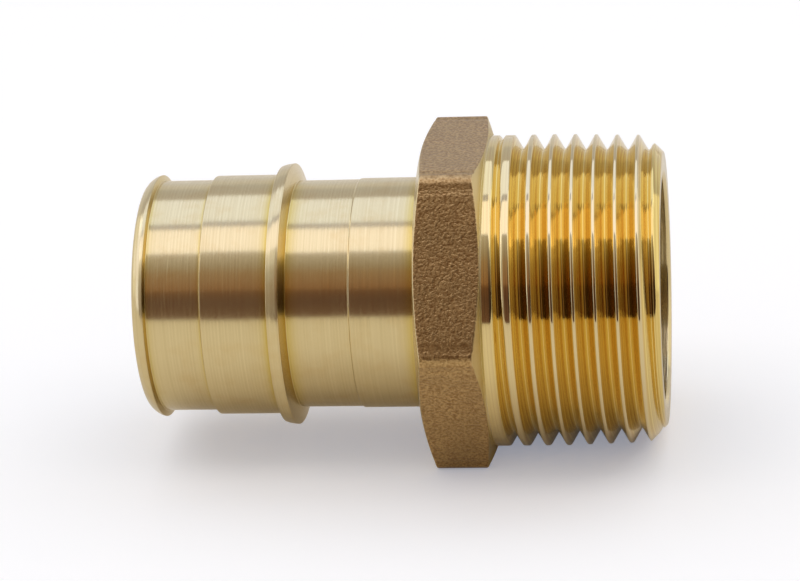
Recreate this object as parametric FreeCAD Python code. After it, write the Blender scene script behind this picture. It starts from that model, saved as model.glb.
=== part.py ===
"""Brass male adapter: a ribbed insert for expanded plastic pipe, a wrench hexagon and a
tapered pipe thread, all one piece with a stepped waterway through it.

Millimetres. X runs along the waterway towards the thread, and the origin is on that axis in
the plane of the shoulder that the pipe stops against. +Z is up, with a hexagon flat below.
"""
import FreeCAD, Part
import math
import os

from FreeCAD import Vector

# Ribbed insert, from the shoulder at x = 0 back to the tip
neck_diameter = 24.5
neck_length = 7.05
rear_step_length = 0.12
rear_groove_diameter = 24.25
rear_groove_length = 6.55
rib_back_length = 0.45
rib_crown_length = 1.33
rib_diameter = 27.95
rib_crown_fall = 0.4
land_diameter = 25.6
land_length = 7.1
front_step_length = 0.12
front_groove_diameter = 24.7
front_groove_length = 5.7
lip_back_length = 0.16
lip_crest_length = 0.3
lip_diameter = 26.0
lip_nose_length = 1.02
tip_diameter = 24.5

# Wrench hexagon, from the shoulder forward to the foot of the thread
hex_length = 6.9
hex_across_flats = 33.05
hex_corner_rounding = 1.4
shoulder_face_diameter = 32.1
shoulder_cone_angle = 15.5
thread_cone_angle = 17.0

# Tapered pipe thread: 11.5 threads to the inch, 1 in 16 on the diameter, 60 degree form
thread_pitch = 25.4 / 11.5
thread_taper = 1.0 / 16.0
thread_form_angle = 60.0
thread_length = 18.17
end_pitch_diameter = 30.826
crest_truncation = 0.2
thread_foot_relief = 0.24
end_chamfer_depth = 1.85
end_chamfer_angle = 45.0
runout_length = 2.5
groove_start_angle = 137.0

# Waterway
insert_bore_diameter = 20.6
thread_bore_diameter = 24.5
thread_bore_depth = 15.0

# Worked out from the sizes above
sharp_height = thread_pitch / 2 / math.tan(math.radians(thread_form_angle / 2))
thread_depth = sharp_height - crest_truncation
side_taper = thread_taper / 2
thread_end = hex_length + thread_length
end_crest_radius = end_pitch_diameter / 2 + sharp_height / 2 - crest_truncation
end_root_radius = end_crest_radius - thread_depth
foot_radius = end_crest_radius + thread_length * side_taper - thread_foot_relief
hex_corner_radius = hex_across_flats / math.sqrt(3)


def tan_deg(angle):
    return math.tan(math.radians(angle))


def turned(corners):
    """Solid turned about the X axis from the closed outline through corners (x, radius)."""
    points = [Vector(x, 0, radius) for x, radius in corners]
    outline = Part.makePolygon(points + points[:1])
    return Part.Face(outline).revolve(Vector(0, 0, 0), Vector(1, 0, 0), 360)


def insert_outline():
    """Corners (x, radius) of the insert's outside, from the tip to the shoulder."""
    rear_step = -neck_length
    rear_groove = rear_step - rear_step_length
    rib_back = rear_groove - rear_groove_length
    rib_top = rib_back - rib_back_length
    rib_front = rib_top - rib_crown_length
    front_step = rib_front - land_length
    front_groove = front_step - front_step_length
    lip_back = front_groove - front_groove_length
    lip_top = lip_back - lip_back_length
    lip_nose = lip_top - lip_crest_length
    tip = lip_nose - lip_nose_length
    return [
        (tip, tip_diameter / 2),
        (lip_nose, lip_diameter / 2),
        (lip_top, lip_diameter / 2),
        (lip_back, front_groove_diameter / 2),
        (front_groove, front_groove_diameter / 2),
        (front_step, land_diameter / 2),
        (rib_front, land_diameter / 2),
        (rib_front, (rib_diameter - rib_crown_fall) / 2),
        (rib_top, rib_diameter / 2),
        (rib_back, rear_groove_diameter / 2),
        (rear_groove, rear_groove_diameter / 2),
        (rear_step, neck_diameter / 2),
        (0, neck_diameter / 2),
    ]


def insert():
    outline = insert_outline()
    tip = outline[0][0]
    return turned(outline + [(0, 0), (tip, 0)])


def six_sided_bar():
    """Bar along X with its long edges rounded and one flat below."""
    corners = []
    for i in range(6):
        angle = math.radians(60 * i)
        across = hex_corner_radius * math.cos(angle)
        up = hex_corner_radius * math.sin(angle)
        corners.append(Vector(0, across, up))
    bar = Part.Face(Part.makePolygon(corners + corners[:1])).extrude(Vector(hex_length, 0, 0))
    long_edges = [edge for edge in bar.Edges if edge.BoundBox.XLength > hex_length / 2]
    return bar.makeFillet(hex_corner_rounding, long_edges)


def wrench_hexagon():
    """The bar with its corners turned back to a shallow cone on each face."""
    shoulder_reach = (hex_corner_radius - shoulder_face_diameter / 2) * tan_deg(shoulder_cone_angle)
    thread_reach = (hex_corner_radius - foot_radius) * tan_deg(thread_cone_angle)
    disc = turned([
        (0, 0),
        (0, shoulder_face_diameter / 2),
        (shoulder_reach, hex_corner_radius),
        (hex_length - thread_reach, hex_corner_radius),
        (hex_length, foot_radius),
        (hex_length, 0),
    ])
    return disc.common(six_sided_bar())


def thread_blank():
    """The threaded end before its groove: a foot of one diameter, a slow taper, a lead-in."""
    foot_end = hex_length + thread_foot_relief / side_taper
    chamfer_length = end_chamfer_depth / (tan_deg(end_chamfer_angle) + side_taper)
    chamfer_start_radius = end_crest_radius + chamfer_length * side_taper
    return turned([
        (hex_length, 0),
        (hex_length, foot_radius),
        (foot_end, foot_radius),
        (thread_end - chamfer_length, chamfer_start_radius),
        (thread_end, chamfer_start_radius - chamfer_length * tan_deg(end_chamfer_angle)),
        (thread_end, 0),
    ])


def groove_helix(radius, z, length, rise):
    """Helix about the Z axis whose radius grows by rise for each unit of its length."""
    helix = Part.makeLongHelix(thread_pitch, length, radius, math.degrees(math.atan(rise)))
    helix.translate(Vector(0, 0, z))
    helix.rotate(Vector(0, 0, 0), Vector(0, 0, 1), 360 * z / thread_pitch)
    return helix


def groove_section(radius, z):
    """V in a plane through the Z axis, its root at the radius, reaching past the crests."""
    height = thread_depth + crest_truncation / 2
    half_width = height * tan_deg(thread_form_angle / 2)
    points = [
        Vector(radius, 0, z),
        Vector(radius + height, 0, z - half_width),
        Vector(radius + height, 0, z + half_width),
    ]
    section = Part.makePolygon(points + points[:1])
    section.rotate(Vector(0, 0, 0), Vector(0, 0, 1), 360 * z / thread_pitch)
    return section


def thread_groove():
    """Cutter of the thread: a V carried along a tapered helix that climbs out at the hexagon.

    It is worked out upright, with z measured from the end face towards the hexagon, and then
    laid along the axis with its middle crossing the end face at groove_start_angle.
    """
    start = -thread_pitch
    fade_start = thread_length - runout_length
    start_radius = end_root_radius + start * side_taper
    fade_radius = end_root_radius + fade_start * side_taper
    fade_rise = (thread_depth + crest_truncation / 2) / runout_length + side_taper
    full = groove_helix(start_radius, start, fade_start - start, side_taper)
    fade = groove_helix(fade_radius, fade_start, runout_length, fade_rise)
    path = Part.Wire(full.Edges + fade.Edges)
    groove = path.makePipeShell([groove_section(start_radius, start)], True, True)
    groove.rotate(Vector(0, 0, 0), Vector(0, 0, 1), groove_start_angle)
    groove.rotate(Vector(0, 0, 0), Vector(0, 1, 0), -90)
    groove.translate(Vector(thread_end, 0, 0))
    return groove


def waterway():
    """Stepped bore: the insert's bore and the wider, flat-bottomed bore of the threaded end."""
    tip = insert_outline()[0][0]
    step = thread_end - thread_bore_depth
    return turned([
        (tip, 0),
        (tip, insert_bore_diameter / 2),
        (step, insert_bore_diameter / 2),
        (step, thread_bore_diameter / 2),
        (thread_end, thread_bore_diameter / 2),
        (thread_end, 0),
    ])


def adapter_body():
    threaded_end = thread_blank().cut(thread_groove())
    outside = insert().fuse([wrench_hexagon(), threaded_end])
    return outside.cut(waterway())


os.makedirs("parts", exist_ok=True)
adapter = adapter_body()
adapter.exportStep("parts/adapter_body.step")
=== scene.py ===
import math

import bmesh
import bpy
import numpy as np
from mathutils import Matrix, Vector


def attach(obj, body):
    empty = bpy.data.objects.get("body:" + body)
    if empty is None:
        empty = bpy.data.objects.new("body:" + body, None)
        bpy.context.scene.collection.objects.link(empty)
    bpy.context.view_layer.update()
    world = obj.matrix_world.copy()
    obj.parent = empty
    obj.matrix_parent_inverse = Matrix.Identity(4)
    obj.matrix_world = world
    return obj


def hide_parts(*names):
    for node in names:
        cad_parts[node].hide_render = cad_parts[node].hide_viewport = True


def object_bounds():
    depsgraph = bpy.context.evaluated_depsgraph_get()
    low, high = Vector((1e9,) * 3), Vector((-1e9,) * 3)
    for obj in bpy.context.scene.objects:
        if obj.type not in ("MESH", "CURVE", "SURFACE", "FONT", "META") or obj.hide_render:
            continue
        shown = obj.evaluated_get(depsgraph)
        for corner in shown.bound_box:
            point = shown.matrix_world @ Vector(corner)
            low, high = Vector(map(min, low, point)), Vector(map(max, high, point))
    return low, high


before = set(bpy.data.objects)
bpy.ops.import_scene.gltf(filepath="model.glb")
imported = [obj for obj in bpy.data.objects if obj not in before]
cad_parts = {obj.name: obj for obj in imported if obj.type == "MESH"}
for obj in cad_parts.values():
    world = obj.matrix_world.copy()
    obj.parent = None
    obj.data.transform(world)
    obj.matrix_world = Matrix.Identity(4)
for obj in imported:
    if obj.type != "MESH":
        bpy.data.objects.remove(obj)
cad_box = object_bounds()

# The adapter: one piece of brass, forged hot and then turned on a lathe everywhere but on the
# six flats. Its ribbed insert goes into expanded plastic pipe, and its tapered thread is cut
# with a die. Sizes are in mm, and x runs along the waterway from the shoulder to the thread.
mm = 0.001
tip_x = cad_box[0].x / mm
end_x = cad_box[1].x / mm

insert_corners = [  # x and radius, from the tip to the shoulder
    (tip_x, 12.1),
    (-29.65, 12.42),
    (-29.3, 12.71),
    (-28.95, 12.9),
    (-28.62, 13.0),
    (-28.42, 12.35),
    (-22.72, 12.35),
    (-22.6, 12.8),
    (-15.5, 12.8),
    (-15.5, 13.72),
    (-15.0, 13.87),
    (-14.5, 13.95),
    (-14.2, 13.97),
    (-13.74, 12.125),
    (-7.17, 12.125),
    (-7.05, 12.25),
    (0, 12.25),
]
turned_edge = 0.06
neck_fillet = 0.3
arc_rows = 4  # in each eased edge of a profile

half_across_flats = 33.05 / 2
flat_corner_rounding = 1.4
hexagon_length = 6.9
shoulder_radius = 32.1 / 2
shoulder_cone = math.tan(math.radians(15.5))
thread_cone = math.tan(math.radians(17))
forged_edge = 0.15

pitch = 25.4 / 11.5
flank_slope = 1 / math.tan(math.radians(30))
side_taper = 1 / 32
crest_truncation = 0.2
thread_depth = pitch / 2 * flank_slope - crest_truncation
end_pitch_radius = 30.826 / 2
end_crest_radius = end_pitch_radius + pitch / 4 * flank_slope - crest_truncation
foot_relief = 0.24
foot_radius = end_crest_radius + (end_x - hexagon_length) * side_taper - foot_relief
foot_length = 0.25
foot_end = hexagon_length + foot_length
chamfer_end_radius = 14.431
runout_length = 2.5
first_root = 7.691  # x at which a root crosses angle 0
root_easing = 0.09
crest_easing = 0.06

insert_bore_radius = 10.3
thread_bore_radius = 12.25
thread_bore_depth = 15
bore_step_x = end_x - thread_bore_depth
mouth_chamfer = 0.3


def column_angles():
    """Angles of the columns round the axis, from +y towards +z, closer at the six corners."""
    corner_half = math.atan2(
        flat_corner_rounding / 2,
        (half_across_flats - flat_corner_rounding) / math.cos(math.pi / 6)
        + flat_corner_rounding * math.cos(math.pi / 6),
    )
    corner_columns, flat_columns = 8, 43
    at_corner = np.linspace(-corner_half, corner_half, corner_columns)
    on_flat = np.linspace(corner_half, math.pi / 3 - corner_half, flat_columns + 2)[1:-1]
    one_side = np.concatenate([at_corner, on_flat])
    return np.concatenate([one_side + side * math.pi / 3 for side in range(6)])


def hexagon_radius(angle):
    """Distance from the axis to the hexagon: half its width over the cosine of the angle from
    the middle of a flat, or at a corner the far crossing with the circle that rounds it."""
    from_corner = np.abs((angle + math.pi / 6) % (math.pi / 3) - math.pi / 6)
    flat = half_across_flats / np.cos(math.pi / 6 - from_corner)
    centre = (half_across_flats - flat_corner_rounding) / math.cos(math.pi / 6)
    under_root = flat_corner_rounding**2 - (centre * np.sin(from_corner)) ** 2
    rounded = centre * np.cos(from_corner) + np.sqrt(np.maximum(under_root, 0))
    return np.where(under_root > (flat_corner_rounding / 2) ** 2, rounded, flat)


def eased_profile(corners, easing):
    """Rows of a profile with its corners rounded off.

    corners holds x and radius for each corner and column. Each inner corner gives way to a
    parabola that has the corner as its middle control point. It starts and ends the easing
    away from the corner, or a share of the shorter side where that is less. One more row
    stands off each end of the parabola, so that the stretches between corners stay flat under
    smooth shading.
    """
    share_of_side = 0.35
    stand_off = 1.35
    corner = corners[1:-1]
    back = corners[:-2] - corner
    ahead = corners[2:] - corner
    back_length = np.linalg.norm(back, axis=1, keepdims=True)
    ahead_length = np.linalg.norm(ahead, axis=1, keepdims=True)
    shorter = np.minimum(back_length, ahead_length)
    reach = np.minimum(easing[:, None, None], share_of_side * shorter)
    back = back / back_length * reach
    ahead = ahead / ahead_length * reach
    share = np.linspace(0, 1, arc_rows)[:, None, None, None]
    arc = corner + (1 - share) ** 2 * back + share**2 * ahead
    before = (corner + stand_off * back)[None]
    after = (corner + stand_off * ahead)[None]
    rows = np.concatenate([before, arc, after])
    rows = np.moveaxis(rows, 0, 1).reshape(-1, 2, corners.shape[2])
    return np.concatenate([corners[:1], rows, corners[-1:]])


def lesser(a, b, width):
    """The lesser of two heights, blended over the width where they cross."""
    share = np.clip(0.5 + (b - a) / (2 * width), 0, 1)
    return b + (a - b) * share - width * share * (1 - share)


def threaded_radius(x, angle):
    """Radius of the threaded end at x and angle.

    The root rises along the axis with the taper and, in the run-out, much faster. From the root
    on each side of x a straight flank climbs away, rounded at its foot, and the surface is the
    least of both flanks, the crest cone, the foot's cylinder and the end chamfer.
    """
    fade_x = hexagon_length + runout_length
    fade_rise = (thread_depth + crest_truncation / 2) / runout_length

    def root_radius(root_x):
        taper = (end_x - root_x) * side_taper
        fade = np.maximum(fade_x - root_x, 0) * fade_rise
        return end_crest_radius - thread_depth + taper + fade

    def flank(root_x):
        away = np.sqrt((x - root_x) ** 2 + root_easing**2)
        return root_radius(root_x) + away * flank_slope

    turn = (x - first_root) / pitch - angle / (2 * math.pi)
    before = x - (turn - np.floor(turn)) * pitch
    groove = lesser(flank(before), flank(before + pitch), crest_easing)
    crest = np.minimum(end_crest_radius + (end_x - x) * side_taper, foot_radius)
    chamfer = chamfer_end_radius + (end_x - x)
    return lesser(lesser(groove, crest, crest_easing), chamfer, crest_easing)


def thread_grid(angle):
    """x and radius of the thread on rows that follow its helix, and how many rows a turn has.

    A row stands at one place between two roots, and moves along by a pitch for each turn.
    """
    near_root = np.array([0, 0.022, 0.05])
    on_flank = np.array([0.09, 0.17, 0.265, 0.36])
    near_crest = np.array([0.425, 0.4477, 0.472])
    half = np.concatenate([near_root, on_flank, near_crest])
    place = np.concatenate([half, [0.5], 1 - half[:0:-1]])
    first_turn = math.floor((foot_end - first_root) / pitch) - 2
    last_turn = math.ceil((end_x - first_root) / pitch) + 1
    turns = np.concatenate([turn + place for turn in range(first_turn, last_turn + 1)])
    x = first_root + pitch * (turns[:, None] + angle / (2 * math.pi))
    x = np.clip(x, foot_end, end_x)
    return x, threaded_radius(x, angle), len(place)


def sheet_faces(rows, columns, first, shift):
    """Quads between the rows of a closed grid. Past the last column a row meets the first
    column of the row that stands shift rows further on."""
    row, column = np.meshgrid(np.arange(rows - 1), np.arange(columns), indexing="ij")
    wrapped = (column + 1) // columns
    here = row * columns + column
    beside = (row + wrapped * shift) * columns + (column + 1) % columns
    quads = np.stack([here, beside, beside + columns, here + columns], axis=-1).reshape(-1, 4)
    return quads[(quads < rows * columns).all(axis=1)] + first


turned, threaded, forged = range(3)  # finishes, numbered as the materials are added below


def adapter_mesh():
    """One closed surface in three grids that share their edges: the outside up to the thread,
    the thread itself, and the end face with the waterway. Each point lies at its radius from
    the axis, at its column's angle. Gives the points, the quads and the finish of each quad."""
    angle = column_angles()
    columns = len(angle)
    hexagon = hexagon_radius(angle)
    ones = np.ones(columns)

    insert_mouth = (tip_x, insert_bore_radius + mouth_chamfer)
    outside = [insert_mouth] + insert_corners + [(0, shoulder_radius)]
    corners = [np.stack([x * ones, radius * ones]) for x, radius in outside]
    shoulder_edge = (hexagon - shoulder_radius) * shoulder_cone
    thread_edge = hexagon_length - (hexagon - foot_radius) * thread_cone
    corners.append(np.stack([shoulder_edge, hexagon]))
    corners.append(np.stack([thread_edge, hexagon]))
    corners.append(np.stack([hexagon_length * ones, foot_radius * ones]))
    corners.append(np.stack([foot_end * ones, foot_radius * ones]))
    easing = np.full(len(corners) - 2, turned_edge)
    neck_foot, shoulder_rim, thread_rim = -5, -3, -2
    easing[neck_foot] = neck_fillet
    easing[[shoulder_rim, thread_rim]] = forged_edge
    body = eased_profile(np.array(corners), easing)

    thread_x, thread_radius, rows_in_turn = thread_grid(angle)

    waterway = np.array([
        (end_x, chamfer_end_radius),
        (end_x, thread_bore_radius + mouth_chamfer),
        (end_x - mouth_chamfer, thread_bore_radius),
        (bore_step_x, thread_bore_radius),
        (bore_step_x, insert_bore_radius),
        (tip_x + mouth_chamfer, insert_bore_radius),
        insert_mouth,
    ])
    easing = np.full(len(waterway) - 2, turned_edge)
    waterway = eased_profile(waterway[:, :, None] * ones, easing)

    grids = [
        (body[:, 0], body[:, 1], 0, turned),
        (thread_x, thread_radius, rows_in_turn, threaded),
        (waterway[:, 0], waterway[:, 1], 0, turned),
    ]
    points, quads, finishes, first = [], [], [], 0
    for x, radius, shift, finish in grids:
        grid = np.stack([x, radius * np.cos(angle), radius * np.sin(angle)], axis=-1)
        faces = sheet_faces(len(x), columns, first, shift)
        points.append(grid.reshape(-1, 3))
        quads.append(faces)
        finishes.append(np.full(len(faces), finish))
        first += x.size
    points = np.concatenate(points) * mm
    quads = np.concatenate(quads)
    finishes = np.concatenate(finishes)

    # The forged skin runs from inside one eased edge of the hexagon to inside the other. Its
    # rims are the fourth and third corners from the end.
    corner_rows = arc_rows + 2
    forged_start = 1 + corner_rows * (len(corners) - 5) + corner_rows // 2
    row = quads[:, 0] // columns
    finishes[(row >= forged_start) & (row < forged_start + corner_rows)] = forged
    return points, quads, finishes


points, quads, finishes = adapter_mesh()
mesh = bpy.data.meshes.new("adapter")
mesh.from_pydata(points, [], quads)
mesh.polygons.foreach_set("material_index", finishes)
mesh.polygons.foreach_set("use_smooth", np.ones(len(quads), dtype=bool))
weld_distance = 0.002 * mm
shortest_edge = 0.001 * mm
welded = bmesh.new()
welded.from_mesh(mesh)
bmesh.ops.remove_doubles(welded, verts=welded.verts, dist=weld_distance)
bmesh.ops.dissolve_degenerate(welded, edges=welded.edges, dist=shortest_edge)
welded.to_mesh(mesh)
welded.free()
mesh.update()
adapter = bpy.data.objects.new("adapter", mesh)
bpy.context.scene.collection.objects.link(adapter)
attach(adapter, "root")
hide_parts("adapter_body")


def linear(hex_colour):
    """Linear RGBA of an sRGB hex colour."""
    parts = [int(hex_colour[i : i + 2], 16) / 255 for i in (1, 3, 5)]
    return [c / 12.92 if c <= 0.04045 else ((c + 0.055) / 1.055) ** 2.4 for c in parts] + [1]


def add(tree, kind, inputs=(), **settings):
    """A new node with its own settings, and each input set to a value or fed by a socket."""
    made = tree.nodes.new("ShaderNode" + kind)
    for name, value in settings.items():
        setattr(made, name, value)
    for name, value in dict(inputs).items():
        if isinstance(value, bpy.types.NodeSocket):
            tree.links.new(value, made.inputs[name])
        else:
            made.inputs[name].default_value = value
    return made


def new_brass(name):
    """The adapter's next material, a metal with nothing set yet: its tree, its shader, and the
    place of a point in mm, on which noise has a feature about every 1 / scale."""
    material = bpy.data.materials.new(name)
    adapter.data.materials.append(material)
    material.use_nodes = True
    tree = material.node_tree
    tree.nodes.clear()
    metal = add(tree, "BsdfPrincipled", {"Metallic": 1.0})
    add(tree, "OutputMaterial", {"Surface": metal.outputs[0]})
    place = add(tree, "TexCoord")
    place = add(
        tree, "VectorMath", {0: place.outputs["Object"], "Scale": 1 / mm}, operation="SCALE"
    )
    return tree, metal, place.outputs[0]


def from_axis(tree, place):
    """The parts of a place along x, y and z, and its distance from the axis."""
    axes = add(tree, "SeparateXYZ", {0: place})
    across = add(tree, "CombineXYZ", {"X": axes.outputs["Y"], "Y": axes.outputs["Z"]})
    radius = add(tree, "VectorMath", {0: across.outputs[0]}, operation="LENGTH")
    return axes.outputs, radius.outputs["Value"]


# Free-cutting brass, turned: a bright metal with fine feed marks round the axis, about 0.35 mm
# apart. Reflections stay sharp round the barrel and are drawn out along it, and the inner corners
# are painted a deeper yellow the more enclosed they are, a painted shade. The face beside the
# thread is duller.
ring_width, ring_length = 0.238, 50
feed_mark = 0.349
tarnish_patch = 2.86
corner_shade_reach = 2.5
dull_from, dull_to, dull_radius = 5.25, foot_end, 15
chatter_width, chatter_length = 0.345, 5
tree, metal, place = new_brass("free_cutting_brass_turned")
axes, radius = from_axis(tree, place)
ring_scale = (1 / ring_width, 1 / ring_length, 1 / ring_length)
rings = add(tree, "VectorMath", {0: place, 1: ring_scale}, operation="MULTIPLY")
rings = add(
    tree, "TexNoise", {"Vector": rings.outputs[0], "Scale": 1.0, "Detail": 3.0, "Roughness": 0.7}
)
feed_scale = math.pi / 10 / feed_mark  # a wave's bands stand pi / 10 / scale apart
feed = add(
    tree, "TexWave", {"Vector": place, "Scale": feed_scale, "Distortion": 0.5, "Detail": 2.0}
)
shade = add(tree, "MapRange", {"Value": rings.outputs[0], "From Min": 0.3, "From Max": 0.7})
shade = add(tree, "Mix", {"Factor": 0.3, "A": shade.outputs[0], "B": feed.outputs["Fac"]})
colour = add(
    tree,
    "Mix",
    {"Factor": shade.outputs[0], "A": linear("#d4be8b"), "B": linear("#e0cd9b")},
    data_type="RGBA",
)
tarnish = add(
    tree,
    "TexNoise",
    {"Vector": place, "Scale": 1 / tarnish_patch, "Detail": 4.0, "Roughness": 0.6},
)
worn = add(
    tree,
    "MapRange",
    {"Value": tarnish.outputs[0], "From Min": 0.5, "From Max": 0.75, "To Max": 0.35},
)
colour = add(
    tree,
    "Mix",
    {"Factor": worn.outputs[0], "A": colour.outputs["Result"], "B": linear("#ceac6e")},
    data_type="RGBA",
)
# Painted shade: the more enclosed a point is, the more its colour turns a deeper yellow.
corner = add(tree, "AmbientOcclusion", {"Distance": corner_shade_reach * mm}, samples=8)
corner_shade = add(
    tree,
    "MapRange",
    {"Value": corner.outputs["AO"], "From Min": 0.9, "From Max": 0.58, "To Max": 0.9},
)
colour = add(
    tree,
    "Mix",
    {"Factor": corner_shade.outputs[0], "A": colour.outputs["Result"], "B": linear("#cbac40")},
    data_type="RGBA",
)
tree.links.new(colour.outputs["Result"], metal.inputs["Base Color"])
rough = add(
    tree,
    "MapRange",
    {
        "Value": rings.outputs[0],
        "From Min": 0.3,
        "From Max": 0.7,
        "To Min": 0.23,
        "To Max": 0.16,
    },
)
outer = add(tree, "Math", {0: radius, 1: dull_radius}, operation="GREATER_THAN")
dull_middle = (dull_from + dull_to) / 2
dull_half = (dull_to - dull_from) / 2
dull = add(tree, "Math", {0: axes["X"], 1: dull_middle, 2: dull_half}, operation="COMPARE")
dull = add(tree, "Math", {0: dull.outputs[0], 1: outer.outputs[0]}, operation="MULTIPLY")
rough = add(
    tree, "Math", {0: dull.outputs[0], 1: 0.3, 2: rough.outputs[0]}, operation="MULTIPLY_ADD"
)
tree.links.new(rough.outputs[0], metal.inputs["Roughness"])
metal.inputs["Anisotropic"].default_value = 0.7
metal.inputs["Anisotropic Rotation"].default_value = 0.25
round_axis = add(tree, "Tangent", direction_type="RADIAL", axis="X")
tree.links.new(round_axis.outputs[0], metal.inputs["Tangent"])
chatter_scale = (1 / chatter_width, 1 / chatter_length, 1 / chatter_length)
chatter = add(tree, "VectorMath", {0: place, 1: chatter_scale}, operation="MULTIPLY")
chatter = add(tree, "TexNoise", {"Vector": chatter.outputs[0], "Scale": 1.0, "Detail": 2.0})
marks = add(tree, "Bump", {"Height": chatter.outputs[0], "Distance": 0.015 * mm, "Strength": 1.0})
tree.links.new(marks.outputs[0], metal.inputs["Normal"])

# The same brass on the thread, where the die has drawn scores 0.1 mm wide along the helix. In
# the roots light goes from flank to flank, which makes the brass look like deep gold, and the
# colour there is painted a deeper gold as well, a painted shade. The crests are painted paler,
# a painted highlight along each crest.
score_width = 0.1
# Depths under the crest: below the first the colour is the painted deep gold, above the second
# the painted highlight.
shade_gold_depth, highlight_depth = 0.35, 0.1  # under the crest
tree, metal, place = new_brass("free_cutting_brass_threaded")
axes, radius = from_axis(tree, place)
around = add(tree, "Math", {0: axes["Z"], 1: axes["Y"]}, operation="ARCTAN2")
along = add(tree, "Math", {0: axes["X"], 1: 2 * math.pi / pitch}, operation="MULTIPLY")
lead = add(tree, "Math", {0: along.outputs[0], 1: around.outputs[0]}, operation="SUBTRACT")
lead_cosine = add(tree, "Math", {0: lead.outputs[0]}, operation="COSINE")
lead_sine = add(tree, "Math", {0: lead.outputs[0]}, operation="SINE")
ring = add(tree, "CombineXYZ", {"X": lead_cosine.outputs[0], "Y": lead_sine.outputs[0]})
score_scale = pitch / (2 * math.pi * score_width)  # one turn of the ring is one pitch
scores = add(
    tree,
    "TexNoise",
    {"Vector": ring.outputs[0], "Scale": score_scale, "Detail": 3.0, "Roughness": 0.65},
)
tone = add(tree, "MapRange", {"Value": scores.outputs[0], "From Min": 0.35, "From Max": 0.65})
gold_and_root_shade = add(
    tree,
    "Mix",
    {"Factor": tone.outputs[0], "A": linear("#cfa75c"), "B": linear("#f0da8b")},
    data_type="RGBA",
)
height = add(tree, "Math", {0: axes["X"], 1: side_taper, 2: radius}, operation="MULTIPLY_ADD")
crest_height = end_crest_radius + end_x * side_taper
# Painted highlight and shade: paler towards the crests, deeper gold towards the roots.
crest = add(
    tree,
    "MapRange",
    {
        "Value": height.outputs[0],
        "From Min": crest_height - shade_gold_depth,
        "From Max": crest_height - highlight_depth,
    },
)
colour = add(
    tree,
    "Mix",
    {"Factor": crest.outputs[0], "A": gold_and_root_shade.outputs["Result"], "B": linear("#dfca9a")},
    data_type="RGBA",
)
tree.links.new(colour.outputs["Result"], metal.inputs["Base Color"])
metal.inputs["Roughness"].default_value = 0.07
cut = add(tree, "Bump", {"Height": scores.outputs[0], "Distance": 0.012 * mm, "Strength": 1.0})
tree.links.new(cut.outputs[0], metal.inputs["Normal"])

# Forged brass: the skin of the flats keeps the blasted grain of the die, about 0.3 mm across,
# duller and browner than the cut metal, with oxide left in the pits.
grain_width = 0.286
patch_width = 3.33
tree, metal, place = new_brass("forged_brass")
grain = add(
    tree,
    "TexNoise",
    {"Vector": place, "Scale": 1 / grain_width, "Detail": 2.5, "Roughness": 0.6},
)
pit = add(tree, "MapRange", {"Value": grain.outputs[0], "From Min": 0.36, "From Max": 0.62})
colour = add(
    tree,
    "Mix",
    {"Factor": pit.outputs[0], "A": linear("#9a7648"), "B": linear("#cca972")},
    data_type="RGBA",
)
patches = add(tree, "TexNoise", {"Vector": place, "Scale": 1 / patch_width, "Detail": 3.0})
patch = add(
    tree,
    "MapRange",
    {"Value": patches.outputs[0], "From Min": 0.35, "From Max": 0.65, "To Max": 0.35},
)
colour = add(
    tree,
    "Mix",
    {"Factor": patch.outputs[0], "A": colour.outputs["Result"], "B": linear("#a5885a")},
    data_type="RGBA",
)
tree.links.new(colour.outputs["Result"], metal.inputs["Base Color"])
metal.inputs["Roughness"].default_value = 0.32
skin = add(tree, "Bump", {"Height": grain.outputs[0], "Distance": 0.085 * mm, "Strength": 1.0})
tree.links.new(skin.outputs[0], metal.inputs["Normal"])

# The floor: a sheet of pale paper under the lower flat. It takes the adapter's shadow. A glow
# that only the camera and the metal see brings it up to the white of the background.
floor_z = cad_box[0].z
floor_half = 3
floor_corners = [
    (-floor_half, -floor_half, floor_z),
    (floor_half, -floor_half, floor_z),
    (floor_half, floor_half, floor_z),
    (-floor_half, floor_half, floor_z),
]
floor_mesh = bpy.data.meshes.new("floor")
floor_mesh.from_pydata(floor_corners, [], [(0, 1, 2, 3)])
floor = bpy.data.objects.new("floor", floor_mesh)
bpy.context.scene.collection.objects.link(floor)

paper = bpy.data.materials.new("floor_paper")
paper.use_nodes = True
tree = paper.node_tree
tree.nodes.clear()
camera_glow, metal_glow = 0.31, 0.03
path = add(tree, "LightPath").outputs
seen = add(
    tree, "Math", {0: path["Is Glossy Ray"], 1: path["Is Transmission Ray"]}, operation="MAXIMUM"
)
glow = add(tree, "Math", {0: seen.outputs[0], 1: metal_glow}, operation="MULTIPLY")
glow = add(
    tree,
    "Math",
    {0: path["Is Camera Ray"], 1: camera_glow, 2: glow.outputs[0]},
    operation="MULTIPLY_ADD",
)
matt = add(tree, "BsdfDiffuse", {"Color": linear("#f0e9dc")})
white = add(tree, "Emission", {"Color": linear("#dde8ff"), "Strength": glow.outputs[0]})
mixed = add(tree, "AddShader", {0: matt.outputs[0], 1: white.outputs[0]})
add(tree, "OutputMaterial", {"Surface": mixed.outputs[0]})
floor.data.materials.append(paper)

# The room: a white background with softer light from it on everything matt. It shows white to
# the camera and in the metal.
world = bpy.data.worlds.new("studio")
bpy.context.scene.world = world
world.use_nodes = True
tree = world.node_tree
tree.nodes.clear()
path = add(tree, "LightPath").outputs
seen = add(
    tree, "Math", {0: path["Is Camera Ray"], 1: path["Is Glossy Ray"]}, operation="MAXIMUM"
)
seen = add(
    tree, "Math", {0: seen.outputs[0], 1: path["Is Transmission Ray"]}, operation="MAXIMUM"
)
on_matt, in_view = 0.6, 1.0
level = add(
    tree, "MapRange", {"Value": seen.outputs[0], "To Min": on_matt, "To Max": in_view}
)
light = add(tree, "Background", {"Color": (1, 1, 1, 1), "Strength": level.outputs[0]})
add(tree, "OutputWorld", {"Surface": light.outputs[0]})


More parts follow.
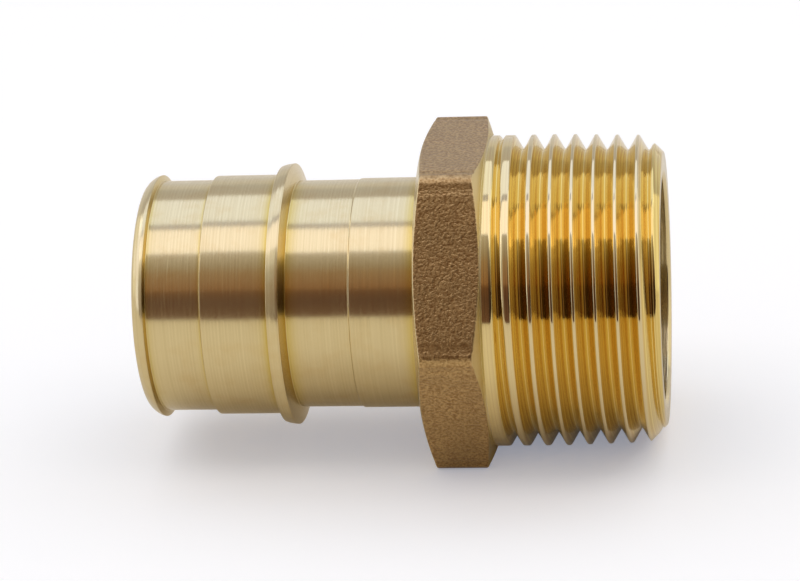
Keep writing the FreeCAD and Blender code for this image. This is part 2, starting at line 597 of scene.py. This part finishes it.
# The lights: two long soft boxes hang over the adapter, one in front of it and one behind, with
# a gap between them that the barrel shows as a line.
def stand(made, elevation, distance):
    """Places a flat thing that looks down its own -z so that it faces the adapter: it goes to
    the distance at the elevation, in degrees from the front horizon over the top."""
    up = math.radians(elevation)
    made.location = (0, -math.cos(up) * distance, math.sin(up) * distance)
    made.rotation_euler = (math.pi / 2 - up, 0, 0)
    bpy.context.scene.collection.objects.link(made)


def span(low, high, distance):
    """Width across which a flat thing at the distance covers the elevations low to high."""
    return 2 * distance * math.tan(math.radians(high - low) / 2)


def soft_box(name, low, high, colour, brightness):
    """An area lamp between two elevations. Its energy is that of a matt glowing sheet, which
    is pi times the brightness times the area."""
    distance, length = 0.6, 1.6
    lamp = bpy.data.lights.new(name, "AREA")
    lamp.shape = "RECTANGLE"
    lamp.size = length
    lamp.size_y = span(low, high, distance)
    lamp.color = linear(colour)[:3]
    lamp.energy = brightness * math.pi * lamp.size * lamp.size_y
    stand(bpy.data.objects.new(name, lamp), (low + high) / 2, distance)


soft_box("front_soft_box", 63.5, 90.5, "#f6f4ff", 0.9)
soft_box("rear_soft_box", 96.5, 132, "#cfdfff", 0.92)


# The cards: the walls and ceiling of a dim room with a window on the left. They show only in
# the metal, where they give the barrel its bands and the thread its dark line.
def card(name, low, high, left, right, strength, colours, distance=0.7):
    """A card that glows between two elevations and reaches from left to right along x, in
    metres. colours pairs a share of the way from low to high with the colour there."""
    half = span(low, high, distance) / 2
    corners = [(left, -half, 0), (right, -half, 0), (right, half, 0), (left, half, 0)]
    flat = bpy.data.meshes.new(name)
    flat.from_pydata(corners, [], [(0, 1, 2, 3)])
    made = bpy.data.objects.new(name, flat)
    made.visible_camera = False
    made.visible_diffuse = False
    made.visible_shadow = False
    stand(made, (low + high) / 2, distance)
    material = bpy.data.materials.new(name)
    material.use_nodes = True
    tree = material.node_tree
    tree.nodes.clear()
    place = add(tree, "TexCoord")
    place = add(tree, "SeparateXYZ", {0: place.outputs["Object"]})
    share = add(
        tree, "MapRange", {"Value": place.outputs["Y"], "From Min": -half, "From Max": half}
    )
    ramp = add(tree, "ValToRGB", {"Fac": share.outputs[0]})
    while len(ramp.color_ramp.elements) < len(colours):
        ramp.color_ramp.elements.new(0.5)
    for element, (position, colour) in zip(ramp.color_ramp.elements, colours):
        element.position = position
        element.color = linear(colour)
    light = add(tree, "Emission", {"Color": ramp.outputs[0], "Strength": strength})
    add(tree, "OutputMaterial", {"Surface": light.outputs[0]})
    flat.materials.append(material)


card("dark_room", -2, 63, -0.27, 0.02, 1.0, [
    (0.0, "#74584c"),
    (0.3, "#644a3e"),
    (0.42, "#74543f"),
    (0.46, "#9a765a"),
    (0.68, "#a48c74"),
    (0.76, "#a89c90"),
    (1.0, "#c4c2c8"),
])
card("camera_side", -2, 63, 0.02, 2.5, 1.0, [
    (0.0, "#3c3230"),
    (0.4, "#403430"),
    (0.55, "#64544c"),
    (0.8, "#8c8480"),
    (1.0, "#c4c4c8"),
])
card("left_wall", -2, 63, -1.4, -0.27, 1.0, [
    (0.0, "#989090"),
    (0.45, "#b0a8a4"),
    (0.7, "#c8c8cc"),
    (0.85, "#f0f2ff"),
    (1.0, "#f8f8ff"),
])
card("left_window_low", -2, 63, -4, -1.4, 1.6, [(0.0, "#e2e6ff"), (1.0, "#e2e6ff")])
card("left_window_high", 63, 132, -4, -0.8, 1.6, [(0.0, "#e2e6ff"), (1.0, "#e2e6ff")])
card("ceiling", 63, 132, -0.8, 0.8, 0.8, [(0.0, "#d7dcff"), (1.0, "#d7dcff")])
card("ceiling_tile", 90, 97, 0.01, 0.8, 1.4, [(0.0, "#f0f0ff"), (1.0, "#f0f0ff")], 0.65)
card("back_wall", 132, 178, -0.8, 0.8, 0.8, [
    (0.0, "#dcdcec"),
    (0.42, "#dce0f0"),
    (0.55, "#f4f6ff"),
    (1.0, "#f4f6ff"),
])

# The camera stands in front of the adapter, a little to the thread's side and above it, and is
# tipped a few degrees.
camera_distance = 0.335803
camera_azimuth = math.radians(7.945)
camera_elevation = math.radians(22.216)
camera_roll = math.radians(-3.890)
aim = np.array([-3.240, 0.033, 0.161]) * mm
towards_camera = np.array([
    math.sin(camera_azimuth) * math.cos(camera_elevation),
    -math.cos(camera_azimuth) * math.cos(camera_elevation),
    math.sin(camera_elevation),
])
camera = bpy.data.objects.new("camera", bpy.data.cameras.new("camera"))
camera.data.sensor_width = 36
camera.data.lens = 141.496
camera.data.clip_start = 0.01
camera.location = aim + towards_camera * camera_distance
camera.rotation_euler = (math.pi / 2 - camera_elevation, 0, camera_azimuth)
bpy.context.scene.collection.objects.link(camera)
camera.rotation_euler.rotate_axis("Z", camera_roll)
bpy.context.scene.camera = camera
bpy.context.scene.view_settings.view_transform = "Standard"
